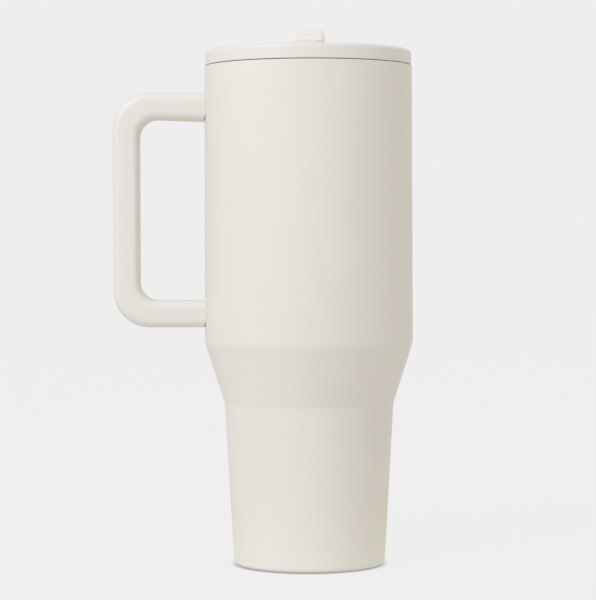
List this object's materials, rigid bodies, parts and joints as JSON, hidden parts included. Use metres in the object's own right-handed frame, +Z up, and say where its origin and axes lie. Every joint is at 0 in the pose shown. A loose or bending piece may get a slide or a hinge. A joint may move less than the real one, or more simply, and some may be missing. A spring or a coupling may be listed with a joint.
{
  "type": "insulated tumbler with lid",
  "caption": "Tall vacuum-insulated travel tumbler with a stepped tapering base, an open side handle and a flush press-in lid with a flip-up straw mouthpiece.",
  "frame": {"origin": "centre of the base, on the table", "axes": "+Z up along the body's axis; the handle points to -X; the folded mouthpiece points to -Y"},
  "size_m": [0.1436, 0.1, 0.2573],
  "materials": {
    "powder_coat": "matte cream powder coat with a fine texture",
    "cream_plastic": "satin moulded polypropylene, same cream as the body",
    "steel": "bare stainless steel, fine spun brushing",
    "silicone": "soft matte silicone, cream",
    "straw_plastic": "smooth semi-gloss",
    "seal_bead": "fused bead",
    "getter": "sintered pill"
  },
  "bodies": {
    "body": {"outer_shell": "powder_coat", "inner_liner": "steel", "base_cap": "steel", "vacuum_port_seal": "seal_bead", "getter": "getter", "base_pad": "silicone", "bracket_upper": "steel", "bracket_lower": "steel", "handle_body": "cream_plastic", "handle_cover": "cream_plastic", "handle_screw_upper_1": "steel", "handle_screw_upper_2": "steel", "handle_screw_lower_1": "steel", "handle_screw_lower_2": "steel"},
    "lid": {"lid_cover": "cream_plastic", "lid_plug": "cream_plastic", "lid_gasket": "silicone", "vent_valve": "silicone", "hinge_pin_left": "steel", "hinge_pin_right": "steel", "port_seal": "silicone", "straw_connector": "silicone", "straw": "straw_plastic"},
    "spout": {"mouthpiece": "cream_plastic", "bite_valve": "silicone", "vent_plug": "silicone"}
  },
  "joints": [
    {"name": "lid_lift", "type": "slide", "parent": "body", "child": "lid", "axis": [0, 0, 1], "range_m": [0, 0.25]},
    {"name": "mouthpiece_flip", "type": "hinge", "parent": "lid", "child": "spout", "pos_m": [0.00063, 0.02399, 0.2523], "axis": [-0.9997, 0.0262, 0], "range_deg": [0, 90]}
  ]
}
